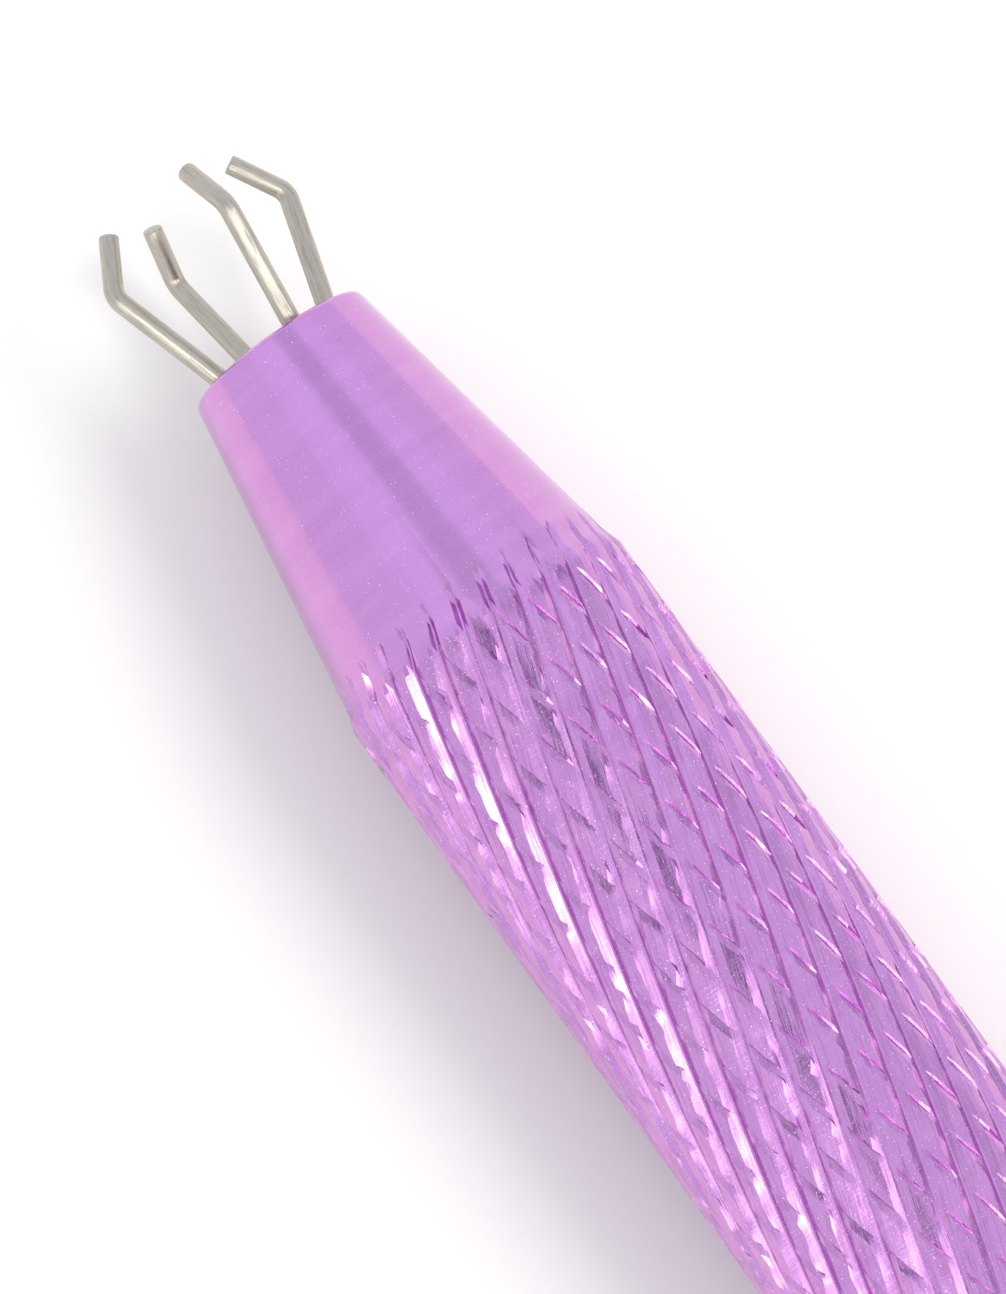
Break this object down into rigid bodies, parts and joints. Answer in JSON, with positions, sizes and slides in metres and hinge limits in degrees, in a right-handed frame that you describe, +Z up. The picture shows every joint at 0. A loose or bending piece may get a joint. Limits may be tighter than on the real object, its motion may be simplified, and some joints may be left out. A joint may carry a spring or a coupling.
{
  "type": "four-claw pick-up tool",
  "caption": "Pen-shaped spring-loaded holder: pressing its rear button pushes hooked wires out of a cone nose and spreads them to take a stone or bead.",
  "frame": {"origin": "on the surface the tool lies on, under the middle of its length, with the claws as stored", "axes": "+X along the tool from the claws to the push button, +Z up; the tool's own axis runs 4 mm above the origin"},
  "size_m": [0.117, 0.008, 0.008],
  "materials": {
    "anodised": "violet anodised, turned and knurled",
    "claw_wire": "bright drawn spring-steel wire",
    "bright_steel": "nickel-plated turned steel",
    "brass": "turned brass",
    "spring_steel": "coiled spring steel",
    "pin_steel": "ground steel pin"
  },
  "bodies": {
    "barrel": {"barrel": "anodised", "rear_bush": "anodised", "rod_guide": "brass", "return_spring": "spring_steel"},
    "plunger": {"push_button": "bright_steel", "push_rod": "bright_steel", "stop_collar": "brass", "claw_block": "brass", "block_pin": "pin_steel", "collar_pin": "pin_steel", "button_pin": "pin_steel"},
    "prong_1": {"prong_1": "claw_wire"},
    "prong_2": {"prong_2": "claw_wire"},
    "prong_3": {"prong_3": "claw_wire"},
    "prong_4": {"prong_4": "claw_wire"}
  },
  "joints": [
    {"name": "plunger_slide", "type": "slide", "parent": "barrel", "child": "plunger", "axis": [-1, 0, 0], "range_m": [-0.00265, 0.002], "stiffness_N_per_m": 250, "springref_m": -0.006, "deforming": ["return_spring"]},
    {"name": "prong_1_pivot", "type": "hinge", "parent": "plunger", "child": "prong_1", "pos_m": [-0.05082, 0.00022, 0.00466], "axis": [0, 0.9483, -0.3173], "range_deg": [-11.5, 8.7]},
    {"name": "prong_2_pivot", "type": "hinge", "parent": "plunger", "child": "prong_2", "pos_m": [-0.05082, -0.00066, 0.00422], "axis": [0, 0.3173, 0.9483], "range_deg": [-11.5, 8.7]},
    {"name": "prong_3_pivot", "type": "hinge", "parent": "plunger", "child": "prong_3", "pos_m": [-0.05082, -0.00022, 0.00334], "axis": [0, -0.9483, 0.3173], "range_deg": [-11.5, 8.7]},
    {"name": "prong_4_pivot", "type": "hinge", "parent": "plunger", "child": "prong_4", "pos_m": [-0.05082, 0.00066, 0.00378], "axis": [0, -0.3173, -0.9483], "range_deg": [-11.5, 8.7]}
  ],
  "couplings": [
    {"joint": "prong_1_pivot", "follows": "plunger_slide", "rad_per_m": 75},
    {"joint": "prong_2_pivot", "follows": "plunger_slide", "rad_per_m": 75},
    {"joint": "prong_3_pivot", "follows": "plunger_slide", "rad_per_m": 75},
    {"joint": "prong_4_pivot", "follows": "plunger_slide", "rad_per_m": 75}
  ]
}
